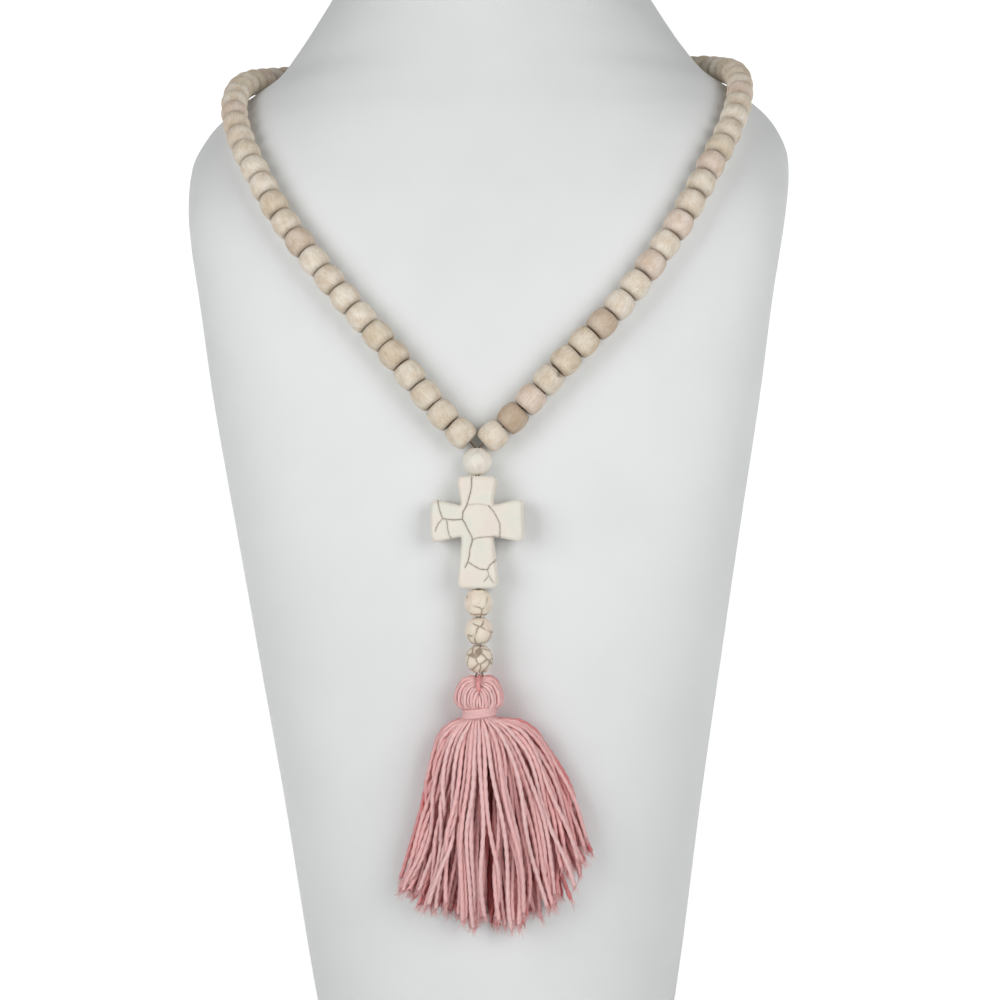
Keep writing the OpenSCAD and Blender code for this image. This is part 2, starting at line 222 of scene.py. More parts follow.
@dataclass(frozen=True)
class BareWood:
    """Sanded, unfinished light wood. It is dry and matt, with fine straight grain and small pores."""

    name: str = "bare_light_wood"
    tones: tuple[tuple[float, str], ...] = (
        (0.00, "F6EEE1"),
        (0.30, "EDE4D5"),
        (0.52, "ECDDD1"),
        (0.72, "E9DECB"),
        (0.88, "DECFBF"),
        (1.00, "CDBAA5"),
    )
    grain: str = "C9B598"
    # Colour of the painted shade at the rims, where the beads touch, and of a chip's darker colour
    stain: str = "5A4636"
    roughness: float = 0.78
    grain_width: float = 0.55 * MM
    pore_width: float = 0.22 * MM
    cloud_width: float = 4 * MM
    stretch: float = 0.10
    grain_depth: float = 0.03 * MM

    def material(self) -> bpy.types.Material:
        """Makes the wood's material, which reads each bead's own place and tone, and its darkening: painted
        shade at the rims, and a chip's darker colour.

        Returns:
            The material.
        """
        values = {"Roughness": self.roughness, "Specular IOR Level": 0.3}
        material, tree, shader = new_material(self.name, values)
        place, tone, stain = (
            add_node(tree, "ShaderNodeAttribute", {"attribute_name": name})
            for name in ("place", "tone", "stain")
        )
        stretched = add_node(
            tree,
            "ShaderNodeMapping",
            inputs={"Vector": place.outputs["Vector"], "Scale": (1.0, 1.0, self.stretch)},
        ).outputs["Vector"]
        fibres, pores, cloud = (
            add_node(
                tree, "ShaderNodeTexNoise", inputs={"Vector": vector, "Scale": 1 / width, **more}
            ).outputs["Fac"]
            for vector, width, more in (
                (stretched, self.grain_width, {"Detail": 4.0, "Distortion": 0.4}),
                (stretched, self.pore_width, {"Detail": 1.0}),
                (place.outputs["Vector"], self.cloud_width, {"Detail": 2.0}),
            )
        )
        colour = add_node(
            tree, "ShaderNodeValToRGB", {"stops": self.tones}, {"Fac": tone.outputs["Fac"]}
        ).outputs["Color"]
        for strength, share, stops in (
            (0.6, fibres, [(0.30, "E6DACA"), (0.55, "FFFFFF")]),
            (1.0, cloud, [(0.35, "F1EAE1"), (0.62, "FFFFFF")]),
            (0.35, pores, [(0.26, self.grain), (0.34, "FFFFFF")]),
        ):
            layer = add_node(tree, "ShaderNodeValToRGB", {"stops": stops}, {"Fac": share})
            colour = add_node(
                tree,
                "ShaderNodeMix",
                {"data_type": "RGBA", "blend_type": "MULTIPLY"},
                {0: strength, 6: colour, 7: layer.outputs["Color"]},
            ).outputs[2]
        # Painted shade at the rims where the beads touch, mixed in with a chip's darker colour
        darkened = add_node(
            tree,
            "ShaderNodeMix",
            {"data_type": "RGBA"},
            {0: stain.outputs["Fac"], 6: colour, 7: linear(self.stain)},
        ).outputs[2]
        cover(tree, shader, darkened, fibres, self.grain_depth)
        return material


@dataclass(frozen=True)
class Howlite:
    """Tumbled howlite: chalky white stone with a low polish and grey-brown veins in shallow grooves."""

    name: str = "tumbled_howlite"
    white: str = "F1EADE"
    warm: str = "F1E6DA"
    cool: str = "EBE9DD"
    vein: str = "86776A"
    halo: str = "CDC0B0"
    roughness: float = 0.42
    vein_half: float = 0.2 * MM
    halo_half: float = 0.55 * MM
    ragged: float = 0.22 * MM
    ragged_width: float = 0.8 * MM
    patch: float = 9 * MM
    grit: float = 0.6 * MM
    grit_depth: float = 0.012 * MM
    strength: float = 0.95

    def material(self) -> bpy.types.Material:
        """Makes the stone's material, which reads how far each point is from a vein.

        Returns:
            The material.
        """
        material, tree, shader = new_material(self.name, {"Roughness": self.roughness})
        place = add_node(tree, "ShaderNodeTexCoord").outputs["Object"]
        distance = add_node(tree, "ShaderNodeAttribute", {"attribute_name": "vein_distance"}).outputs["Fac"]
        ragged, patches, grit = (
            add_node(
                tree, "ShaderNodeTexNoise", inputs={"Vector": place, "Scale": 1 / width, "Detail": detail}
            ).outputs["Fac"]
            for width, detail in ((self.ragged_width, 3.0), (self.patch, 3.0), (self.grit, 2.0))
        )
        uneven = add_node(
            tree,
            "ShaderNodeMath",
            {"operation": "MULTIPLY_ADD"},
            {0: ragged, 1: self.ragged, 2: -self.ragged / 2},
        ).outputs[0]
        edge = add_node(tree, "ShaderNodeMath", {"operation": "ADD"}, {0: distance, 1: uneven}).outputs[0]
        stops = [(0.35, self.warm), (0.5, self.white), (0.62, self.cool)]
        colour = add_node(tree, "ShaderNodeValToRGB", {"stops": stops}, {"Fac": patches}).outputs["Color"]
        for half, tint, strength in (
            (self.halo_half, self.halo, 0.47 * self.strength),
            (self.vein_half, self.vein, self.strength),
        ):
            near = add_node(
                tree,
                "ShaderNodeMapRange",
                {"interpolation_type": "SMOOTHSTEP"},
                {
                    "Value": edge,
                    "From Min": 0.35 * half,
                    "From Max": 1.5 * half,
                    "To Min": strength,
                    "To Max": 0.0,
                },
            ).outputs["Result"]
            colour = add_node(
                tree, "ShaderNodeMix", {"data_type": "RGBA"}, {0: near, 6: colour, 7: linear(tint)}
            ).outputs[2]
        cover(tree, shader, colour, grit, self.grit_depth)
        return material


@dataclass(frozen=True)
class CottonYarn:
    """Mercerised two-ply cotton yarn, dyed pink. Its fibres scatter light softly, with a little lustre."""

    name: str = "pink_cotton_yarn"
    # The colour ramp paints shade and light: strands further back take the deep colour as painted shade,
    # front strands the lightest as painted light
    light: str = "FFC5C4"
    shade: str = "F49C9D"
    deep: str = "E9686B"
    front_lit: str = "FFD9D7"
    lustre: str = "FFC0BC"
    roughness: float = 0.6
    sheen: float = 0.5
    glow_through: float = 0.15
    glow_depth: float = 0.8 * MM
    fibre_depth: float = 0.05 * MM

    def material(self) -> bpy.types.Material:
        """Makes the yarn's material, whose fibres follow the strand by its UV map.

        Returns:
            The material.
        """
        values = {
            "Roughness": self.roughness,
            "Subsurface Weight": self.glow_through,
            "Subsurface Radius": (1.0, 0.7, 0.65),
            "Subsurface Scale": self.glow_depth,
            "Specular IOR Level": 0.25,
            "Sheen Weight": self.sheen,
            "Sheen Roughness": 0.4,
            "Sheen Tint": linear(self.lustre),
        }
        material, tree, shader = new_material(self.name, values)
        along = add_node(tree, "ShaderNodeUVMap", {"uv_map": "UVMap"}).outputs["UV"]
        tone = add_node(tree, "ShaderNodeAttribute", {"attribute_name": "tone"}).outputs["Fac"]
        # The map counts turns of the plies along the strand. Real fibres are 0.02 mm thick, and these are
        # drawn some five times as coarse, so that they show.
        slant = add_node(
            tree,
            "ShaderNodeMapping",
            inputs={"Vector": along, "Rotation": (0.0, 0.0, 0.6), "Scale": (14.0, 9.0, 1.0)},
        ).outputs["Vector"]
        fibres = add_node(
            tree,
            "ShaderNodeTexNoise",
            {"noise_dimensions": "2D"},
            {"Vector": slant, "Scale": 1.0, "Detail": 2.0},
        ).outputs["Fac"]
        # Painted shade and painted light: the ramp runs from the shaded back strands' colour to the lit front
        # strands' colour
        tones = [(0.0, self.deep), (0.3, self.shade), (0.6, self.light), (1.0, self.front_lit)]
        streaks = [(0.3, "F4D2D2"), (0.6, "FFFFFF")]
        dye_and_shade, streaked = (
            add_node(tree, "ShaderNodeValToRGB", {"stops": stops}, {"Fac": share}).outputs["Color"]
            for stops, share in ((tones, tone), (streaks, fibres))
        )
        colour = add_node(
            tree,
            "ShaderNodeMix",
            {"data_type": "RGBA", "blend_type": "MULTIPLY"},
            {0: 0.6, 6: dye_and_shade, 7: streaked},
        ).outputs[2]
        cover(tree, shader, colour, fibres, self.fibre_depth)
        return material


@dataclass(frozen=True)
class WaxedThread:
    """Waxed linen thread. It is light brown, with a low wax lustre and fine twist."""

    name: str = "waxed_thread"
    light: str = "A08468"
    shade: str = "6E5744"
    twist: float = 0.5 * MM
    twist_depth: float = 0.04 * MM

    def material(self) -> bpy.types.Material:
        """Makes the thread's material.

        Returns:
            The material.
        """
        material, tree, shader = new_material(self.name, {"Roughness": 0.55})
        place = add_node(tree, "ShaderNodeTexCoord").outputs["Object"]
        strands = add_node(
            tree, "ShaderNodeTexNoise", inputs={"Vector": place, "Scale": 1 / self.twist, "Detail": 2.0}
        ).outputs["Fac"]
        stops = [(0.35, self.shade), (0.65, self.light)]
        colour = add_node(tree, "ShaderNodeValToRGB", {"stops": stops}, {"Fac": strands}).outputs["Color"]
        cover(tree, shader, colour, strands, self.twist_depth)
        return material


@dataclass(frozen=True)
class StudioPaper:
    """White seamless paper. Behind the bust the paper itself glows, as painted light in place of lamps behind
    it, until it is blank.
    """

    name: str = "white_seamless_paper"
    colour: str = "F4F4F4"
    glow: float = 0.6
    glow_from: float = 20 * MM
    glow_full: float = 140 * MM

    def material(self) -> bpy.types.Material:
        """Makes the paper's material.

        Returns:
            The material.
        """
        values = {"Base Color": linear(self.colour), "Roughness": 0.9, "Emission Color": linear("FFFFFF")}
        material, tree, shader = new_material(self.name, values)
        place = add_node(tree, "ShaderNodeTexCoord").outputs["Object"]
        back = add_node(tree, "ShaderNodeSeparateXYZ", inputs={"Vector": place}).outputs["Y"]
        # Painted light: the paper glows more the further back it lies, and this glow also lights the bust
        glow = add_node(
            tree,
            "ShaderNodeMapRange",
            {"interpolation_type": "SMOOTHSTEP"},
            {"Value": back, "From Min": self.glow_from, "From Max": self.glow_full, "To Max": self.glow},
        ).outputs["Result"]
        tree.links.new(glow, shader.inputs["Emission Strength"])
        return material


def merged_copy(node: str) -> bmesh.types.BMesh:
    """Copies a CAD node's mesh with its loose triangles joined.

    Args:
        node: The node's name.

    Returns:
        The copy.
    """
    bm = bmesh.new()
    bm.from_mesh(bpy.data.objects[node].data)
    bmesh.ops.remove_doubles(bm, verts=bm.verts[:], dist=1e-6)
    return bm


def linked(name: str, data: bpy.types.ID) -> bpy.types.Object:
    """Makes an object in the scene.

    Args:
        name: The object's name.
        data: Its mesh, curve, light or camera.

    Returns:
        The object.
    """
    made = bpy.data.objects.new(name, data)
    bpy.context.scene.collection.objects.link(made)
    return made


def shown_mesh(shape: bpy.types.Object) -> bpy.types.Mesh:
    """Makes a mesh of what an object's curve or modifiers show.

    Args:
        shape: The object.

    Returns:
        The mesh.
    """
    depsgraph = bpy.context.evaluated_depsgraph_get()
    return bpy.data.meshes.new_from_object(shape.evaluated_get(depsgraph))


def round_edges(
    bm: bmesh.types.BMesh, edges: list[bmesh.types.BMEdge], reach: float, segments: int = 3
) -> None:
    """Rounds some of a mesh's edges.

    Args:
        bm: The mesh.
        edges: The edges.
        reach: How far the rounding reaches from each edge.
        segments: Faces across the rounding.
    """
    bmesh.ops.bevel(
        bm,
        geom=edges,
        offset=reach,
        offset_type="OFFSET",
        affect="EDGES",
        segments=segments,
        profile=0.5,
        material=-1,
    )


def finished(
    name: str, bm: bmesh.types.BMesh, material: bpy.types.Material, nodes: Iterable[str]
) -> bpy.types.Object:
    """Makes a smooth-shaded piece that rides on the body and stands for CAD nodes.

    Args:
        name: The piece's name.
        bm: Its mesh, which is freed.
        material: Its material.
        nodes: The CAD nodes that it stands for.

    Returns:
        The piece.
    """
    mesh = bpy.data.meshes.new(name)
    bm.to_mesh(mesh)
    bm.free()
    mesh.shade_smooth()
    mesh.materials.append(material)
    piece = linked(name, mesh)
    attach(piece, BODY)
    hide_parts(*nodes)
    triangles = sum(len(face.vertices) - 2 for face in mesh.polygons)
    log.info("%s: %d triangles", name, triangles)
    return piece


def run_along(path: np.ndarray) -> np.ndarray:
    """Measures how far along a path each of its points lies."""
    return np.concatenate([[0], np.cumsum(np.linalg.norm(np.diff(path[:, :3], axis=0), axis=1))])


def smooth_path(knots: np.ndarray, step: float) -> np.ndarray:
    """Draws a smooth curve through knots and measures out points along it.

    Args:
        knots: Rows of x, y, z and radius.
        step: Distance between the points.

    Returns:
        Rows of x, y, z and radius, a step apart.
    """
    ends = np.vstack([2 * knots[:1] - knots[1:2], knots, 2 * knots[-1:] - knots[-2:-1]])
    t = np.linspace(0, 1, 12, endpoint=False)[:, None]
    spans = [
        0.5 * (2 * b + (c - a) * t + (2 * a - 5 * b + 4 * c - d) * t**2 + (3 * b - a - 3 * c + d) * t**3)
        for a, b, c, d in zip(ends, ends[1:], ends[2:], ends[3:])
    ]
    dense = np.vstack([*spans, knots[-1:]])
    run = run_along(dense)
    at = np.linspace(0, run[-1], max(2, round(run[-1] / step)) + 1)
    return np.column_stack([np.interp(at, run, column) for column in dense.T])


@dataclass
class DrilledPlace:
    """Where a drilled piece of the frame lies, and its size."""

    middle: Vector
    axis: Vector
    length: float
    radius: float

    def matrix(self, turn: float = 0.0, tilt: tuple[float, float] = (0.0, 0.0)) -> Matrix:
        """Places a piece that is drilled along Z.

        Args:
            turn: Turn round the hole.
            tilt: Tilts across it.

        Returns:
            The piece's matrix.
        """
        lean = Matrix.Rotation(tilt[0], 4, "X") @ Matrix.Rotation(tilt[1], 4, "Y")
        along = self.axis.to_track_quat("Z", "Y").to_matrix().to_4x4()
        return Matrix.Translation(self.middle) @ along @ lean @ Matrix.Rotation(turn, 4, "Z")


def drilled_places(node: str) -> list[DrilledPlace]:
    """Finds the drilled pieces of a node by their flat ends, which are their largest flat patches.

    Args:
        node: The node's name.

    Returns:
        The pieces' places, in the order in which they follow one another from the lowest.
    """
    bm = merged_copy(node)
    waiting = set(bm.faces)
    found = []
    while waiting:
        island, front = set(), [next(iter(waiting))]
        while front:
            face = front.pop()
            if face in island:
                continue
            island.add(face)
            front.extend(other for edge in face.edges for other in edge.link_faces)
        waiting -= island
        flats: dict[tuple[float, ...], list[bmesh.types.BMFace]] = {}
        for face in island:
            flats.setdefault(tuple(round(c, 2) + 0.0 for c in face.normal), []).append(face)
        ends = sorted(flats.values(), key=lambda faces: sum(f.calc_area() for f in faces))[-2:]
        middles = []
        for faces in ends:
            area = sum(f.calc_area() for f in faces)
            middles.append(sum((f.calc_center_median() * (f.calc_area() / area) for f in faces), Vector()))
        middle = (middles[0] + middles[1]) / 2
        axis = (middles[1] - middles[0]).normalized()
        if axis.z < 0:
            axis = -axis
        radius = max((v.co - middle).cross(axis).length for f in island for v in f.verts)
        found.append(DrilledPlace(middle, axis, (middles[1] - middles[0]).length, radius))
    bm.free()
    ordered = [min(found, key=lambda place: place.middle.z)]
    found.remove(ordered[0])
    while found:
        nearest = min(found, key=lambda place: (place.middle - ordered[-1].middle).length)
        found.remove(nearest)
        ordered.append(nearest)
    return ordered


def barrel(
    radius: float, length: float, flat: float, hole: float, sides: int, steps: int, rim: float
) -> bmesh.types.BMesh:
    """Turns a drilled bead whose side bulges between two flat ends.

    Args:
        radius: Largest radius.
        length: Length along the hole.
        flat: Radius of the flat ends.
        hole: Radius of the hole.
        sides: Faces round the bead.
        steps: Faces along its side.
        rim: Rounding of the flat ends' rims.

    Returns:
        The bead, drilled along Z round the origin.
    """
    half = length / 2
    centre = (radius**2 - flat**2 - half**2) / (2 * (radius - flat))
    swing = math.atan2(half, flat - centre)
    bm = bmesh.new()
    arc = [swing * (2 * i / steps - 1) for i in range(steps + 1)]
    bulge = radius - centre
    side = [(centre + bulge * math.cos(a), bulge * math.sin(a)) for a in arc]
    outline = [(hole, -half), *side, (hole, half)]
    verts = [bm.verts.new((r, 0, z)) for r, z in outline]
    edges = [bm.edges.new(pair) for pair in zip(verts, verts[1:] + verts[:1])]
    bmesh.ops.spin(
        bm,
        geom=verts + edges,
        axis=(0, 0, 1),
        cent=(0, 0, 0),
        angle=math.tau,
        steps=sides,
        use_merge=True,
        use_duplicate=False,
    )
    bmesh.ops.remove_doubles(bm, verts=bm.verts[:], dist=1e-7)
    bmesh.ops.recalc_face_normals(bm, faces=bm.faces[:])
    sharp = [e for e in bm.edges if len(e.link_faces) == 2 and e.calc_face_angle(0) > 0.5]
    round_edges(bm, sharp, rim)
    return bm


@dataclass
class DisplayBust:
    """The moulded neck bust, with softly rounded rims at its base and its neck's end."""

    finish: MattPaint = field(default_factory=MattPaint)
    rim: float = 2.2 * MM
    margin: float = 3.0 * MM

    def build(self) -> bpy.types.Object:
        """Rounds and smooths a copy of the frame's bust.

        Returns:
            The bust.
        """
        bm = merged_copy("display_bust")
        for sign in (-1, 1):
            bmesh.ops.dissolve_faces(bm, faces=[f for f in bm.faces if f.normal.z * sign > 0.999])
        diagonals = [e for e in bm.edges if len(e.link_faces) == 2 and self.is_diagonal(e)]
        bmesh.ops.dissolve_edges(bm, edges=diagonals, use_verts=False)
        rims = [e for e in bm.edges if any(len(f.verts) > 4 for f in e.link_faces)]
        round_edges(bm, rims, self.rim)
        ends = [f for f in bm.faces if len(f.verts) > 4]
        bmesh.ops.inset_individual(bm, faces=ends, thickness=self.margin)
        piece = finished("bust_shell", bm, self.finish.material(), ["display_bust"])
        smooth = piece.modifiers.new("smooth", "SUBSURF")
        smooth.levels = smooth.render_levels = 1
        return piece

    @staticmethod
    def is_diagonal(edge: bmesh.types.BMEdge) -> bool:
        """Says whether an edge splits a four-sided patch, as the longest edge of both its triangles.

        Args:
            edge: The edge, which has a face on each side.

        Returns:
            Whether it does.
        """
        length = edge.calc_length()
        return all(
            len(face.verts) == 3 and length >= max(other.calc_length() for other in face.edges) - 1e-7
            for face in edge.link_faces
        )


@dataclass
class Chip:
    """A dent in a bead: its direction from the bead's middle, its size and how dark it is."""

    towards: Vector
    width: float
    depth: float
    # How much darker the colour is in the dent
    stain: float


@dataclass
class BeadString:
    """The wooden beads of one side, threaded close together, each turned from bare wood."""

    side: Side
    finish: bpy.types.Material
    flat: float = 3.85 * MM
    hole: float = 1.1 * MM
    rim: float = 0.7 * MM
    swell: float = 0.3 * MM
    # Strength of the painted shade at each bead's rims, where it touches the next bead
    rim_shade: float = 0.3
    sides: int = 28
    steps: int = 12
    lean: float = 0.03
    unevenness: float = 0.07 * MM
    tones: dict[int, WoodTone] = field(default_factory=dict)
    wedges: dict[int, float] = field(default_factory=dict)
    chips: dict[int, Chip] = field(default_factory=dict)

    def build(self) -> bpy.types.Object:
        """Turns a bead for each place on the frame's string.

        Returns:
            The string of beads.
        """
        node = f"bead_string_{self.side.name.lower()}"
        rng = random.Random(node)
        places = drilled_places(node)
        first = places[0]
        turned = barrel(
            first.radius, first.length + self.swell, self.flat, self.hole, self.sides, self.steps, self.rim
        )
        pattern = bpy.data.meshes.new("turned_bead")
        turned.to_mesh(pattern)
        turned.free()
        bm = bmesh.new()
        place_layer = bm.verts.layers.float_vector.new("place")
        tone_layer = bm.verts.layers.float.new("tone")
        darkening_layer = bm.verts.layers.float.new("stain")
        plain = [WoodTone.PALE, WoodTone.CREAM, WoodTone.CREAM, WoodTone.ROSE, WoodTone.STRAW]
        for number, place in enumerate(places, start=1):
            count = len(bm.verts)
            bm.from_mesh(pattern)
            bm.verts.ensure_lookup_table()
            verts = bm.verts[count:]
            tone = self.tones.get(number, rng.choice(plain)).value + rng.uniform(-0.06, 0.06)
            grain = Matrix.Rotation(rng.gauss(0, 0.25), 4, "X") @ Matrix.Rotation(rng.gauss(0, 0.25), 4, "Y")
            seed = Vector((rng.uniform(-1, 1), rng.uniform(-1, 1), rng.uniform(-1, 1)))
            chip = self.chips.get(number)
            for vert in verts:
                vert[place_layer] = grain @ vert.co + seed
                vert[tone_layer] = tone
                # Painted shade darkens each bead towards its ends, where it touches the next; a chip adds its
                # own darker colour
                edge = min(1.0, max(0.0, abs(vert.co.z) / first.length * 4 - 1))
                vert[darkening_layer] = max(self.carve(vert, chip), self.rim_shade * edge * edge)
                vert.co += vert.normal * (noise.noise(vert.co / (3.5 * MM) + seed * 20) * self.unevenness)
            lean = self.wedges.get(number, 0.0)
            tilt = (rng.gauss(0, self.lean) + lean, rng.gauss(0, self.lean))
            bmesh.ops.transform(bm, matrix=place.matrix(rng.uniform(0, math.tau), tilt), verts=verts)
        bpy.data.meshes.remove(pattern)
        log.info("%s: %d beads", node, len(places))
        return finished(f"wood_beads_{self.side.name.lower()}", bm, self.finish, [node])

    @staticmethod
    def carve(vert: bmesh.types.BMVert, chip: Chip | None) -> float:
        """Sinks a vertex into its bead's chip.

        Args:
            vert: The vertex.
            chip: The chip, if the bead has one.

        Returns:
            How dark the vertex is.
        """
        if chip is None:
            return 0.0
        away = (vert.co - chip.towards).length / chip.width
        share = max(0.0, 1 - away * away)
        vert.co -= vert.co.normalized() * (chip.depth * share)
        return chip.stain * min(1.0, 1.6 * share)


@dataclass
class StoneBead:
    """A tumbled stone bead with veins that loop round its cells."""

    node: str
    finish: bpy.types.Material
    cell: float = 3.4 * MM
    veined: float = 0.5
    flat: float = 2.0 * MM
    hole: float = 1.1 * MM
    rim: float = 0.5 * MM
    sides: int = 150
    steps: int = 64
    groove: float = 0.10 * MM
    groove_half: float = 0.45 * MM
    unevenness: float = 0.10 * MM

    def build(self) -> bpy.types.Object:
        """Turns the bead, and gives each point its distance from a vein.

        Returns:
            The bead.
        """
        low, high = (Vector(corner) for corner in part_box(self.node))
        radius, length = (high.x - low.x) / 2, high.z - low.z
        bm = barrel(radius, length, self.flat, self.hole, self.sides, self.steps, self.rim)
        layer = bm.verts.layers.float.new("vein_distance")
        seed = Vector((sum(map(ord, self.node)) % 97, len(self.node), 5.0))
        for vert in bm.verts:
            distance = self.vein_distance(vert.co, seed)
            vert[layer] = distance
            share = max(0.0, 1 - distance / self.groove_half)
            rough = noise.fractal(vert.co / (2.2 * MM) + seed, 1.0, 2.0, 3)
            vert.co += vert.normal * (rough * self.unevenness - share * share * self.groove)
        bmesh.ops.translate(bm, verts=bm.verts[:], vec=(low + high) / 2)
        return finished(f"stone_{self.node}", bm, self.finish, [self.node])

    def vein_distance(self, point: Vector, seed: Vector) -> float:
        """Measures how far a point is from the wall between two cells.

        Args:
            point: The point, from the bead's middle.
            seed: Where the bead's stone was cut.

        Returns:
            The distance, made longer where the vein is faint.
        """
        warped = point / self.cell + seed
        warped += 0.22 * noise.noise_vector(warped * 1.1)
        _, cells = noise.voronoi(warped)
        first, second = cells[0], cells[1]
        across = (second - first).normalized()
        distance = abs(((first + second) / 2 - warped).dot(across)) * self.cell
        faint = max(0.0, noise.noise(warped * 0.9 + Vector((7, 3, 1))) + 0.5 - self.veined)
        return min(2 * MM, distance + faint * 1.2 * MM)


@dataclass
class StoneCross:
    """The stone cross: flared arms with tumbled edges, and the photo's own veins charted on its face."""

    finish: bpy.types.Material
    crossing_up: float = 15.5 * MM
    thickness: float = 8.4 * MM
    turn: float = math.radians(-3)
    voxel: float = 0.26 * MM
    softening: int = 20
    groove: float = 0.16 * MM
    groove_half: float = 0.42 * MM
    waviness: float = 0.09 * MM
    wander: float = 0.9 * MM
    # Veins of the front face in millimetres right of and above the crossing, each with its strength
    veins: tuple[tuple[float, tuple[tuple[float, float], ...]], ...] = (
        (
            1.0,
            (
                (-1.5, 15.6), (-1.5, 12.4), (-1.8, 10.1), (-2.6, 7.5), (-3.2, 5.5), (-4.6, 3.0), (-4.8, 0.7),
                (-3.8, -1.0), (-2.9, -3.0), (-1.5, -5.6), (-1.5, -7.1), (-2.3, -9.6), (-2.5, -11.9),
                (-3.0, -13.9), (-4.0, -15.9),
            ),
        ),
        (
            0.9,
            ((-4.8, 0.6), (-7.8, 0.4), (-10.9, 0.7), (-11.8, 1.2), (-12.6, 3.5), (-13.2, 6.1), (-13.6, 8.0)),
        ),
        (0.8, ((-11.8, 0.7), (-13.2, -0.8), (-13.9, -2.2), (-14.2, -3.4))),
        (0.8, ((-10.3, 0.4), (-10.0, -2.2), (-9.5, -4.8), (-8.9, -5.9), (-8.4, -7.4))),
        (0.9, ((4.3, 5.2), (6.0, 3.2), (7.1, 1.2), (8.1, -1.0), (8.2, -3.3), (8.0, -5.3), (7.8, -7.2))),
        (0.7, ((-1.5, -6.5), (0.0, -5.9), (2.0, -5.6), (4.2, -5.5), (5.6, -5.7))),
        (
            0.9,
            (
                (-2.9, -14.2), (-1.2, -15.3), (1.1, -16.6), (3.7, -16.8), (4.5, -15.3), (5.7, -14.2),
                (6.6, -13.6),
            ),
        ),
        (0.7, ((3.7, -16.8), (4.2, -18.8), (5.7, -21.3))),
        (0.7, ((4.2, -18.8), (2.5, -20.8))),
        (0.35, ((-3.2, 5.5), (0.6, 5.9), (4.3, 5.2))),
    )

    def build(self) -> bpy.types.Object:
        """Remeshes a copy of the frame's cross finely, softens it and sinks the veins.

        Returns:
            The cross.
        """
        low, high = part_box("cross")
        self.crossing = Vector(((low.x + high.x) / 2, (low.y + high.y) / 2, high.z - self.crossing_up))
        bm = self.fine_copy()
        points = np.array([v.co for v in bm.verts])
        distances = self.vein_distances(points)
        layer = bm.verts.layers.float.new("vein_distance")
        bm.normal_update()
        for vert, distance in zip(bm.verts, distances):
            vert[layer] = float(distance)
            share = max(0.0, 1 - float(distance) / self.groove_half)
            wave = noise.fractal(vert.co / (6 * MM), 1.0, 2.0, 3) * self.waviness
            vert.co += vert.normal * (wave - share * share * (3 - 2 * share) * self.groove)
        return finished("stone_cross", bm, self.finish, ["cross"])

    def fine_copy(self) -> bmesh.types.BMesh:
        """Makes an even, fine mesh of the frame's cross with its steps smoothed into round edges.

        Returns:
            The mesh.
        """
        bm = merged_copy("cross")
        mesh = bpy.data.meshes.new("fine_cross")
        bm.to_mesh(mesh)
        bm.free()
        rough = linked("fine_cross", mesh)
        remesh = rough.modifiers.new("remesh", "REMESH")
        remesh.mode = "VOXEL"
        remesh.voxel_size = self.voxel
        fine = shown_mesh(rough)
        bm = bmesh.new()
        bm.from_mesh(fine)
        for _ in range(self.softening):
            bmesh.ops.smooth_vert(
                bm, verts=bm.verts[:], factor=0.5, use_axis_x=True, use_axis_y=True, use_axis_z=True
            )
        bpy.data.objects.remove(rough)
        bpy.data.meshes.remove(mesh)
        bpy.data.meshes.remove(fine)
        return bm

    def vein_distances(self, points: np.ndarray) -> np.ndarray:
        """Measures how far each point is from the nearest vein. The veins wander a little on their way back.

        Args:
            points: Rows of x, y and z.

        Returns:
            The distances, made longer where a vein is faint.
        """
        facing = Matrix.Rotation(-self.turn, 3, "Z")
        flat = np.empty((len(points), 2))
        for row, point in enumerate(points):
            x, y, z = facing @ (Vector(point) - self.crossing)
            depth = min(1.0, max(0.0, (y + self.thickness / 2) / (4 * MM)))
            shift = noise.noise_vector(Vector((x, y * 2, z)) / (7 * MM)) * (self.wander * depth)
            flat[row] = (x + shift.x, z + shift.z)
        nearest = np.full(len(points), 2 * MM)
        for strength, vein in self.veins:
            for (x1, z1), (x2, z2) in zip(vein, vein[1:]):
                start = np.array((x1, z1)) * MM
                along = np.array((x2, z2)) * MM - start
                share = np.clip((flat - start) @ along / (along @ along), 0, 1)
                away = np.linalg.norm(flat - start - share[:, None] * along, axis=1)
                nearest = np.minimum(nearest, away + (1 - strength) * 0.22 * MM)
        return nearest


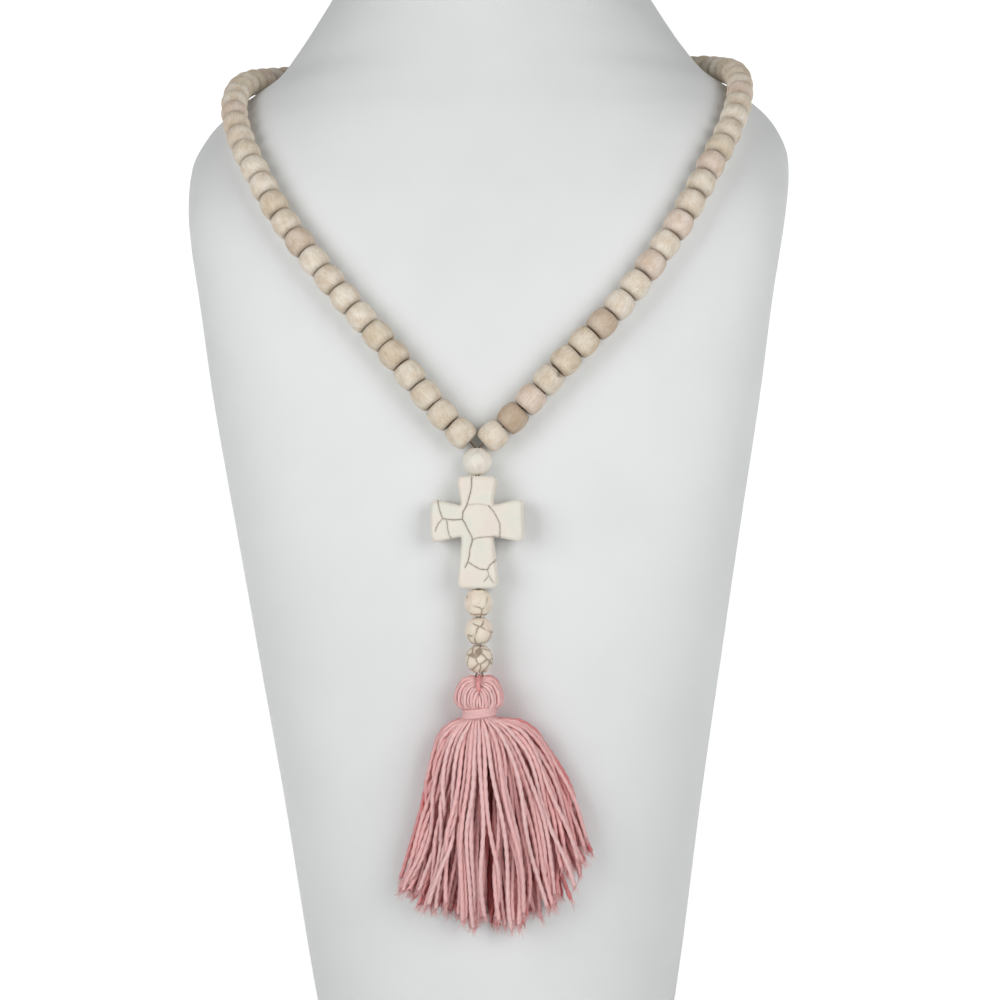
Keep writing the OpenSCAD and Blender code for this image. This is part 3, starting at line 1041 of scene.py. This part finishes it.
@dataclass
class Yarn:
    """Two-ply yarn: a two-lobed section that turns as it is swept along a path."""

    turn: float = 7.0 * MM
    corners: int = 10
    waist: float = 0.74

    def __post_init__(self) -> None:
        """Makes the curve that sweeps the section, and the section."""
        section = bpy.data.curves.new("yarn_section", "CURVE")
        outline = section.splines.new("POLY")
        outline.points.add(self.corners - 1)
        for k, point in enumerate(outline.points):
            angle = math.tau * k / self.corners
            reach = self.waist + (1 - self.waist) * abs(math.cos(angle))
            point.co = (reach * math.cos(angle), reach * math.sin(angle), 0, 1)
        outline.use_cyclic_u = True
        self.section = linked("yarn_section", section)
        curve = bpy.data.curves.new("yarn_sweep", "CURVE")
        curve.dimensions = "3D"
        curve.bevel_mode = "OBJECT"
        curve.bevel_object = self.section
        curve.use_fill_caps = True
        self.sweeper = linked("yarn_sweep", curve)

    def sweep(
        self,
        target: bmesh.types.BMesh,
        path: np.ndarray,
        tone: float,
        phase: float = 0.0,
        closed: bool = False,
    ) -> None:
        """Adds a strand to a mesh.

        Args:
            target: The mesh, which has a vertex layer named tone.
            path: Rows of x, y, z and radius along the strand's middle.
            tone: The strand's place on the yarn's colour ramp.
            phase: Turn of the plies at the start.
            closed: Whether the strand is a ring.
        """
        curve = self.sweeper.data
        curve.splines.clear()
        spline = curve.splines.new("POLY")
        spline.points.add(len(path) - 1)
        run = run_along(path)
        turns = run / self.turn
        if closed:
            turns = np.arange(len(path)) / len(path) * round(run[-1] / self.turn)
            spline.use_cyclic_u = True
        spline.points.foreach_set("co", np.column_stack([path[:, :3], np.ones(len(path))]).ravel())
        spline.points.foreach_set("radius", np.ascontiguousarray(path[:, 3]))
        spline.points.foreach_set("tilt", phase + math.tau * turns)
        bpy.context.view_layer.update()
        mesh = shown_mesh(self.sweeper)
        layer = mesh.uv_layers["UVMap"].uv
        places = np.empty(len(layer) * 2, np.float32)
        layer.foreach_get("vector", places)
        places[1::2] *= run[-1] / self.turn
        layer.foreach_set("vector", places)
        shades = mesh.attributes.new("tone", "FLOAT", "POINT")
        shades.data.foreach_set("value", np.full(len(mesh.vertices), tone, np.float32))
        target.from_mesh(mesh)
        bpy.data.meshes.remove(mesh)

    def put_away(self) -> None:
        """Removes the curve and the section."""
        for helper in (self.section, self.sweeper):
            curve = helper.data
            bpy.data.objects.remove(helper)
            bpy.data.curves.remove(curve)

    @staticmethod
    def cloth() -> bmesh.types.BMesh:
        """Starts a mesh for strands, with the layers that they bring.

        Returns:
            The mesh.
        """
        bm = bmesh.new()
        bm.verts.layers.float.new("tone")
        bm.loops.layers.uv.new("UVMap")
        return bm

    @staticmethod
    def closed_up(bm: bmesh.types.BMesh) -> bmesh.types.BMesh:
        """Joins the strands' caps to their walls and turns their faces outwards.

        Args:
            bm: The mesh of the strands.

        Returns:
            The same mesh.
        """
        bmesh.ops.remove_doubles(bm, verts=bm.verts[:], dist=1e-7)
        bmesh.ops.recalc_face_normals(bm, faces=bm.faces[:])
        return bm


@dataclass
class Fold:
    """A strand's place in the bundle that is folded over the ring.

    Attributes:
        depth: Place in the ring's opening from the front, -1, to the back, 1.
        level: Place in the opening from the bottom, -1, to the top, 1.
        outer: Rank among the strands from the inside, 0, to the outside, 1.
        layer: Place from the back, -1, to the front, 1, among the strands of its rank.
    """

    depth: float
    level: float
    outer: float
    layer: float


@dataclass
class Tassel:
    """The yarn tassel: strands folded over a ring of yarn, bound at the neck and fanned over the chest."""

    yarn: Yarn
    finish: bpy.types.Material
    ring_finish: bpy.types.Material
    strands: int = 80
    strand: float = 0.88 * MM
    squeezed: float = 0.42 * MM
    lobe_strand: float = 0.66 * MM
    step: float = 1.0 * MM
    sway: float = 1.3 * MM
    settle_rounds: int = 60
    head_width: float = 17 * MM
    head_depth: float = 12.4 * MM
    neck_width: float = 9.8 * MM
    # Share of the skirt's length, growth from the neck to the left and right as shares of the growth in
    # width, and to the front and back as a share of the growth in thickness
    skirt: tuple[tuple[float, float, float, float], ...] = (
        (0.00, 0.000, 0.000, 0.00),
        (0.05, 0.115, 0.185, 0.27),
        (0.12, 0.170, 0.295, 0.62),
        (0.28, 0.230, 0.405, 0.90),
        (0.50, 0.300, 0.505, 1.00),
        (0.65, 0.350, 0.590, 0.93),
        (0.80, 0.435, 0.635, 0.78),
        (1.00, 0.520, 0.685, 0.42),
    )
    # Place across the skirt from left to right, length of the strands there as a share of the longest
    ends: tuple[tuple[float, float], ...] = (
        (-1.00, 0.80),
        (-0.65, 0.88),
        (-0.30, 0.94),
        (-0.10, 0.97),
        (0.24, 1.00),
        (0.60, 0.86),
        (0.76, 0.74),
        (1.00, 0.60),
    )
    # Shares of a strand's length at which its way down the skirt is set
    stations: tuple[float, ...] = (0.03, 0.08, 0.16, 0.28, 0.40, 0.54, 0.68, 0.80, 0.92, 1.0)
    skirt_width: float = 70 * MM
    skirt_thickness: float = 20 * MM
    side_thinning: float = 0.72
    settle_share: float = 0.16
    clearance: float = 0.4 * MM
    # Start of the even spread of layers, which puts a front strand at the skirt's middle
    first_layer: float = 0.93
    fibres_an_end: int = 12

    def build(self) -> list[bpy.types.Object]:
        """Lays, settles and sweeps the strands, the ring, the binding and the frayed ends.

        Returns:
            The tassel's pieces.
        """
        self.rng = random.Random("tassel")
        self.measure()
        folds = self.folds()
        paths = self.settled([self.laid(fold) for fold in folds])
        pieces = []
        for part, group in (("front", [f.layer >= 0 for f in folds]), ("back", [f.layer < 0 for f in folds])):
            cloth = Yarn.cloth()
            for fold, path, chosen in zip(folds, paths, group):
                if chosen:
                    # Painted shade and painted light: back strands take a darker colour and front strands a
                    # lighter one, with a little random tone
                    tone = 0.52 + 0.42 * fold.layer + self.rng.gauss(0, 0.08)
                    self.yarn.sweep(cloth, smooth_path(path, self.step), tone, self.rng.uniform(0, 6.3))
            name = f"yarn_strands_{part}"
            pieces.append(finished(name, Yarn.closed_up(cloth), self.finish, ["tassel"]))
        return [*pieces, self.ring(), self.binding(), self.frayed(paths)]

    def measure(self) -> None:
        """Takes the tassel's places from the frame."""
        ring_low, ring_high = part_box("hanging_loop")
        bind_low, bind_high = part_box("tassel_binding")
        low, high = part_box("tassel")
        self.wire = (ring_high.x - ring_low.x) / 2
        self.axis_y = (bind_low.y + bind_high.y) / 2
        self.ring_z = (ring_low.z + ring_high.z) / 2
        self.ring_y_reach = (ring_high.y - ring_low.y) / 2 - self.wire
        self.ring_z_reach = (ring_high.z - ring_low.z) / 2 - self.wire
        self.bind_low, self.bind_high = bind_low.z, bind_high.z
        self.head_top = high.z
        self.length = bind_low.z - low.z
        bust = merged_copy("display_bust")
        self.chest = BVHTree.FromBMesh(bust)
        bust.free()

    def chest_y(self, x: float, z: float) -> float:
        """Finds the front of the chest at a place."""
        hit = self.chest.ray_cast(Vector((x, -1.0, z)), Vector((0, 1, 0)))[0]
        return hit.y

    def folds(self) -> list[Fold]:
        """Fills the ring's opening evenly with strands.

        Returns:
            The strands' places.
        """
        levels = np.linspace(-1, 1, 201)
        filled = 0.5 + (levels * np.sqrt(1 - levels**2) + np.arcsin(levels)) / math.pi
        golden = (math.sqrt(5) - 1) / 2
        found = []
        for index in range(self.strands):
            outer = (index + 0.5) / self.strands
            level = float(np.interp(outer, filled, levels))
            layer = 2 * ((self.first_layer + index * golden) % 1) - 1
            found.append(Fold(-layer * math.sqrt(1 - level * level), level, outer, layer))
        return found

    def laid(self, fold: Fold) -> np.ndarray:
        """Lays one folded strand, from its left end over the ring to its right end.

        Args:
            fold: The strand's place in the fold.

        Returns:
            Rows of x, y, z and radius.
        """
        middle = (
            0.0,
            self.axis_y + fold.depth * (self.ring_y_reach - self.wire - self.squeezed),
            self.ring_z + fold.level * (self.ring_z_reach - self.wire - self.squeezed),
            self.squeezed,
        )
        left, right = ([*self.over_the_head(side, fold), *self.down_the_skirt(side, fold)] for side in Side)
        return smooth_path(np.array([*reversed(left), middle, *right]), 2 * MM)

    def over_the_head(self, side: Side, fold: Fold) -> list[tuple[float, float, float, float]]:
        """Lays a strand's half from the ring over its lobe of the head and through the binding.

        Args:
            side: The side of the tassel.
            fold: The strand's place in the fold.

        Returns:
            Rows of x, y, z and radius.
        """
        thick = self.lobe_strand
        half = self.head_width / 2 - thick
        deep = self.head_depth / 2 - thick
        neck = self.neck_width / 2 - self.squeezed
        crown = self.head_top - thick
        under = self.ring_z - self.ring_z_reach + self.wire + thick
        out = fold.outer
        forward = -fold.layer * math.sqrt(1 - 0.8 * out * out)
        round_neck = -fold.layer * math.sqrt(1 - out * out)

        def knot(
            inside: float, outside: float, y: float, low: float, high: float, radius: float
        ) -> tuple[float, float, float, float]:
            """Sets a point of the strand between the innermost strand's way and the outermost one's.

            Args:
                inside: Distance from the middle on the innermost way.
                outside: The same on the outermost way.
                y: Distance behind the tassel's axis.
                low: Height on the innermost way.
                high: Height on the outermost way.
                radius: The strand's radius.

            Returns:
                The point's x, y, z and radius.
            """
            x = inside + (outside - inside) * out
            return side.value * x, self.axis_y + y, low + (high - low) * out, radius

        top, bottom, thin = self.bind_high, self.bind_low, self.squeezed
        at_neck = neck * round_neck
        return [
            knot(0.95 * MM, 1.9 * MM, 0.80 * deep * forward, under, crown - 0.9 * MM, 0.9 * thick),
            knot(0.90 * MM, 0.60 * half, 0.95 * deep * forward, under - 1.8 * MM, crown, thick),
            knot(0.60 * MM, half, deep * forward, top + 3.2 * MM, top + 4.4 * MM, thick),
            knot(0.55 * MM, 0.95 * half, 0.96 * deep * forward, top + 1.3 * MM, top + 0.9 * MM, thick),
            knot(0.4 * MM, neck, at_neck, top - 0.7 * MM, top - 0.7 * MM, thin),
            knot(0.4 * MM, neck, at_neck, bottom + 0.5 * MM, bottom + 0.5 * MM, thin),
        ]

    def down_the_skirt(self, side: Side, fold: Fold) -> list[tuple[float, float, float, float]]:
        """Lays a strand's half from the binding down to its end.

        Args:
            side: The side of the tassel.
            fold: The strand's place in the fold.

        Returns:
            Rows of x, y, z and radius.
        """
        rng = self.rng
        across = max(-1.0, min(1.0, side.value * fold.outer + rng.gauss(0, 0.04)))
        drift = rng.gauss(0, 0.06)
        layer = min(1.0, max(-1.0, fold.layer + rng.gauss(0, 0.12)))
        length = float(np.interp(across, *zip(*self.ends))) * rng.uniform(0.91, 1.0)
        sway_x, sway_y = rng.uniform(0, 6.3), rng.uniform(0, 6.3)
        knots = []
        for share in self.stations:
            u = max(-1.0, min(1.0, across + drift * share))
            x, y, z = self.skirt_place(u, share * length, layer)
            amount = self.sway * min(1.0, share / 0.25)
            x += amount * math.sin(sway_x + 8 * share)
            y += 0.7 * amount * math.sin(sway_y + 6 * share)
            radius = self.squeezed + (self.strand - self.squeezed) * min(1.0, share / 0.08)
            knots.append((x, min(y, self.chest_y(x, z) - self.clearance - radius), z, radius))
        return knots

    def skirt_place(self, u: float, down: float, layer: float) -> tuple[float, float, float]:
        """Finds a place in the skirt.

        Args:
            u: Place across it, from the left, -1, to the right, 1.
            down: Share of its length.
            layer: Place from the back, -1, to the front, 1.

        Returns:
            The place's x, y and z.
        """
        shares, left, right, growth = zip(*self.skirt)
        spread = float(np.interp(down, shares, left if u < 0 else right))
        neck = self.neck_width - 2 * self.strand
        x = u * (neck / 2 + spread * (self.skirt_width - self.neck_width))
        z = self.bind_low - down * self.length
        grown = float(np.interp(down, shares, growth)) * (self.skirt_thickness - self.neck_width)
        full = (self.neck_width + grown) * math.sqrt(1 - self.side_thinning * u * u)
        share = min(1.0, down / self.settle_share)
        settled = share * share * (3 - 2 * share)
        rest = self.chest_y(x, z) - self.clearance - full / 2
        centre = self.axis_y + (rest - self.axis_y) * settled
        reach = (full / 2 - self.strand) * (0.4 + 0.6 * math.sqrt(1 - u * u))
        # The middle strands come out from under the binding behind those that arch over to the sides
        hollow = 1 - 0.35 * (1 - settled) * (1 - abs(u)) * max(0.0, layer)
        return x, centre - layer * reach * hollow, z

    def settled(self, paths: list[np.ndarray]) -> list[np.ndarray]:
        """Pushes strands that overlap apart, and keeps them off the chest.

        Args:
            paths: The strands as they were laid.

        Returns:
            The strands at rest.
        """
        place = np.vstack(paths)
        owner = np.concatenate([np.full(len(p), k) for k, p in enumerate(paths)])
        starts = np.cumsum([0] + [len(p) for p in paths])
        xyz, radius = place[:, :3], place[:, 3]
        inner = np.ones(len(xyz), bool)
        inner[starts[:-1]] = inner[starts[1:] - 1] = False
        neck = self.bind_low - 1.0 * MM
        free = np.clip((neck - xyz[:, 2]) / (8 * MM), 0.0, 1.0)
        free[xyz[:, 2] > self.bind_high + 1.5 * MM] = 0.2
        for turn in range(self.settle_rounds):
            if turn % 4 == 0:
                first, second = self.close_pairs(xyz, owner)
            apart = xyz[first] - xyz[second]
            gap = np.maximum(np.linalg.norm(apart, axis=1), 1e-6)
            push = np.maximum(0.0, 0.96 * (radius[first] + radius[second]) - gap)
            move = apart / gap[:, None] * (0.35 * push)[:, None]
            shift = np.zeros_like(xyz)
            np.add.at(shift, first, move)
            np.add.at(shift, second, -move)
            xyz += shift * free[:, None]
            smooth = (np.roll(xyz, 1, axis=0) + np.roll(xyz, -1, axis=0)) / 2 - xyz
            xyz[inner] += (0.12 * free[:, None] * smooth)[inner]
            if turn % 4 == 3:
                self.keep_off_chest(xyz, radius, free)
        return [place[a:b] for a, b in zip(starts, starts[1:])]

    def close_pairs(self, xyz: np.ndarray, owner: np.ndarray) -> tuple[np.ndarray, np.ndarray]:
        """Lists the points of different strands that lie close together, each pair once.

        Args:
            xyz: The points.
            owner: The number of each point's strand.

        Returns:
            The pairs' first points and their second ones, by their numbers.
        """
        tree = KDTree(len(xyz))
        for k, point in enumerate(xyz):
            tree.insert(point, k)
        tree.balance()
        pairs = [
            (k, other)
            for k, point in enumerate(xyz)
            for _, other, _ in tree.find_range(point, 2.4 * self.strand)
            if other > k and owner[other] != owner[k]
        ]
        first, second = np.array(pairs).T
        return first, second

    def keep_off_chest(self, xyz: np.ndarray, radius: np.ndarray, free: np.ndarray) -> None:
        """Moves points forward that reach into the chest.

        Args:
            xyz: The points, which are changed.
            radius: The strand's radius at each point.
            free: How far each point may move, where 0 is not at all.
        """
        for k in np.flatnonzero(free > 0):
            x, y, z = xyz[k]
            xyz[k, 1] = min(y, self.chest_y(x, z) - self.clearance - radius[k])

    def ring(self) -> bpy.types.Object:
        """Sweeps the ring of yarn that the head is folded over.

        Returns:
            The ring.
        """
        count = 40
        angles = np.arange(count) * math.tau / count
        path = np.column_stack(
            [
                np.zeros(count),
                self.axis_y + self.ring_y_reach * np.sin(angles),
                self.ring_z + self.ring_z_reach * np.cos(angles),
                np.full(count, self.wire),
            ]
        )
        cloth = Yarn.cloth()
        self.yarn.sweep(cloth, path, 0.6, closed=True)
        return finished("yarn_ring", Yarn.closed_up(cloth), self.ring_finish, ["hanging_loop"])

    def binding(self) -> bpy.types.Object:
        """Winds yarn round the neck, a little askew, with its tail laid into the skirt.

        Returns:
            The binding.
        """
        turns, yarn, slope = 3.42, 0.66 * MM, 0.10
        radius = self.neck_width / 2 + 0.5 * MM
        height = self.bind_high - self.bind_low - 1.6 * yarn
        count = 84
        knots = []
        for k in range(count + 1):
            share = k / count
            angle = math.radians(-25) - math.tau * turns * share
            x = radius * math.cos(angle)
            z = self.bind_high - 0.8 * yarn - height * share + slope * x
            knots.append((x, self.axis_y + radius * math.sin(angle), z, yarn))
        for u, down in ((-0.72, 0.055), (-0.80, 0.10), (-0.84, 0.16), (-0.86, 0.24)):
            x, y, z = self.skirt_place(u, down, 1.0)
            knots.append((x, y - 1.2 * MM, z, yarn * 1.1))
        cloth = Yarn.cloth()
        # The binding takes a colour near the ramp's lighter end, as painted light
        self.yarn.sweep(cloth, smooth_path(np.array(knots), 0.6 * MM), 0.85)
        return finished("yarn_binding", Yarn.closed_up(cloth), self.finish, ["tassel_binding"])

    def frayed(self, paths: list[np.ndarray]) -> bpy.types.Object:
        """Draws the loose fibres at the strands' cut ends.

        Args:
            paths: The strands.

        Returns:
            The fibres.
        """
        fibres = bpy.data.curves.new("fibres", "CURVE")
        fibres.dimensions = "3D"
        fibres.bevel_depth = 1.0
        fibres.bevel_resolution = 0
        fibres.use_fill_caps = True
        rng = self.rng
        for path in paths:
            for tip, before in ((path[0], path[2]), (path[-1], path[-3])):
                end = Vector(tip[:3])
                out = (end - Vector(before[:3])).normalized()
                for _ in range(self.fibres_an_end):
                    spline = fibres.splines.new("POLY")
                    spline.points.add(4)
                    scatter = Vector((rng.gauss(0, 0.22), rng.gauss(0, 0.22), rng.gauss(0, 0.22)))
                    side = Vector((rng.uniform(-1, 1), rng.uniform(-1, 1), 0)) * (0.6 * MM)
                    length = rng.uniform(1.5, 4.0) * MM
                    for k, point in enumerate(spline.points):
                        share = k / 4
                        place = end + side + (out + scatter * share) * (length * share) - out * (0.6 * MM)
                        place.y = min(place.y, self.chest_y(place.x, place.z) - 0.2 * MM)
                        point.co = (*place, 1)
                        point.radius = (0.13 - 0.08 * share) * MM
        holder = linked("fibres", fibres)
        mesh = shown_mesh(holder)
        bm = Yarn.cloth()
        bm.from_mesh(mesh)
        tones = bm.verts.layers.float["tone"]
        for vert in bm.verts:
            vert[tones] = 0.8
        bpy.data.objects.remove(holder)
        bpy.data.meshes.remove(mesh)
        bpy.data.curves.remove(fibres)
        return finished("yarn_fibres", Yarn.closed_up(bm), self.finish, ["tassel"])


@dataclass
class BeadThread:
    """The thread through the beads, which keeps the frame's shape."""

    finish: WaxedThread = field(default_factory=WaxedThread)

    def dress(self, node: bpy.types.Object) -> None:
        """Gives the frame's thread its material.

        Args:
            node: The frame's thread.
        """
        node.data.materials.clear()
        node.data.materials.append(self.finish.material())
        node.data.shade_smooth()


@dataclass
class Studio:
    """A white seamless sweep, soft lights from both sides and the photo's level view."""

    camera_place: Vector = field(default_factory=lambda: Vector((47.5, -719.3, 225.9)) * MM)
    camera_turn: float = math.radians(3.5)
    camera_roll: float = math.radians(-0.55)
    lens: float = 67.86
    paper_half: float = 1.7
    paper_front: float = 1.5
    paper_back: float = 1.35
    paper_height: float = 2.2
    paper_curve: float = 0.5
    softbox_width: float = 1.0
    softbox_watts: float = 12.2
    even_light: float = 0.03
    room: float = 0.88

    def build(self) -> None:
        """Sets up the paper, the lights and the camera."""
        self.paper()
        self.lights()
        self.camera()

    def paper(self) -> None:
        """Lays the paper on the floor and sweeps it up behind."""
        bm = bmesh.new()
        front = [bm.verts.new((x, -self.paper_front, 0)) for x in (-self.paper_half, self.paper_half)]
        edge = bm.edges.new(front)
        corner = bmesh.ops.extrude_edge_only(bm, edges=[edge])["geom"]
        ends = [g for g in corner if isinstance(g, bmesh.types.BMVert)]
        bmesh.ops.translate(bm, verts=ends, vec=(0, self.paper_front + self.paper_back, 0))
        fold = next(g for g in corner if isinstance(g, bmesh.types.BMEdge) and set(g.verts) == set(ends))
        wall = bmesh.ops.extrude_edge_only(bm, edges=[fold])["geom"]
        tops = [g for g in wall if isinstance(g, bmesh.types.BMVert)]
        bmesh.ops.translate(bm, verts=tops, vec=(0, 0, self.paper_height))
        round_edges(bm, [fold], self.paper_curve, segments=16)
        mesh = bpy.data.meshes.new("paper")
        bm.to_mesh(mesh)
        bm.free()
        mesh.shade_smooth()
        mesh.materials.append(StudioPaper().material())
        sweep = linked("paper", mesh)

    def lights(self) -> None:
        """Hangs a large soft light on each side of the camera, and a dim even light all round."""
        target = Vector((0, -60, 250)) * MM
        for side in Side:
            name = f"{side.name.lower()}_softbox"
            light = bpy.data.lights.new(name, "AREA")
            light.shape = "SQUARE"
            light.size = self.softbox_width
            light.energy = self.softbox_watts
            lamp = linked(name, light)
            lamp.location = place = Vector((side.value, -1.15, 0.6))
            lamp.rotation_euler = (target - place).to_track_quat("-Z", "Y").to_euler()
        world = bpy.data.worlds.new("even_light")
        world.use_nodes = True
        tree = world.node_tree
        room = tree.nodes["Background"]
        room.inputs["Color"].default_value = linear("F2F4F5")
        # The room shows as pale as the paper where the paper ends, and hardly lights the bust
        seen = add_node(tree, "ShaderNodeLightPath").outputs["Is Camera Ray"]
        strength = add_node(
            tree, "ShaderNodeMapRange", inputs={"Value": seen, "To Min": self.even_light, "To Max": self.room}
        ).outputs["Result"]
        tree.links.new(strength, room.inputs["Strength"])
        bpy.context.scene.world = world
        bpy.context.scene.view_settings.view_transform = "Standard"

    def camera(self) -> None:
        """Places the camera where the photo was taken from."""
        data = bpy.data.cameras.new("camera")
        data.sensor_width = 36.0
        data.lens = self.lens
        data.clip_end = 20.0
        camera = linked("camera", data)
        camera.matrix_world = (
            Matrix.Translation(self.camera_place)
            @ Matrix.Rotation(self.camera_turn, 4, "Z")
            @ Matrix.Rotation(math.radians(90), 4, "X")
            @ Matrix.Rotation(self.camera_roll, 4, "Z")
        )
        bpy.context.scene.camera = camera


def main() -> None:
    """Builds the necklace, its bust and the studio in order."""
    logging.basicConfig(level=logging.INFO, format="%(message)s")
    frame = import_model()
    # Vector noise starts from the clock unless it is seeded
    noise.seed_set(STONE_SEED)
    DisplayBust().build()
    wood = BareWood().material()
    BeadString(
        Side.LEFT,
        wood,
        tones={
            5: WoodTone.STRAW,
            7: WoodTone.PALE,
            8: WoodTone.PALE,
            10: WoodTone.PALE,
            11: WoodTone.TAN,
            13: WoodTone.STRAW,
            15: WoodTone.PALE,
        },
        wedges={6: 0.08, 7: -0.06, 9: 0.06},
    ).build()
    BeadString(
        Side.RIGHT,
        wood,
        tones={
            2: WoodTone.BROWN,
            3: WoodTone.ROSE,
            7: WoodTone.TAN,
            8: WoodTone.PALE,
            9: WoodTone.PALE,
            13: WoodTone.CREAM,
            15: WoodTone.ROSE,
            16: WoodTone.STRAW,
        },
        chips={4: Chip(Vector((0, -3.6, 3.4)) * MM, 1.5 * MM, 0.6 * MM, 0.7)},
    ).build()
    howlite = Howlite().material()
    warm_howlite = Howlite(
        "warm_tumbled_howlite",
        white="F3E7D5",
        warm="F1DFCF",
        cool="ECE2CF",
        vein="8A7763",
        halo="C8B6A0",
        vein_half=0.24 * MM,
        halo_half=0.75 * MM,
        strength=0.75,
    ).material()
    StoneBead("junction_bead", howlite, cell=5.5 * MM, veined=0.15).build()
    StoneCross(howlite).build()
    StoneBead("drop_bead_1", warm_howlite, cell=4.4 * MM, veined=0.35).build()
    StoneBead("drop_bead_2", warm_howlite, cell=4.4 * MM, veined=0.45).build()
    StoneBead("drop_bead_3", warm_howlite, cell=3.8 * MM, veined=0.9).build()
    yarn = Yarn()
    ring_yarn = CottonYarn("deep_pink_cotton_yarn", light="F4ADAC", shade="E59593", front_lit="F7BDBB")
    Tassel(yarn, CottonYarn().material(), ring_yarn.material()).build()
    yarn.put_away()
    BeadThread().dress(frame["nodes"]["thread"])
    Studio().build()
    log.info("sizes written")


if __name__ == "__main__":
    main()
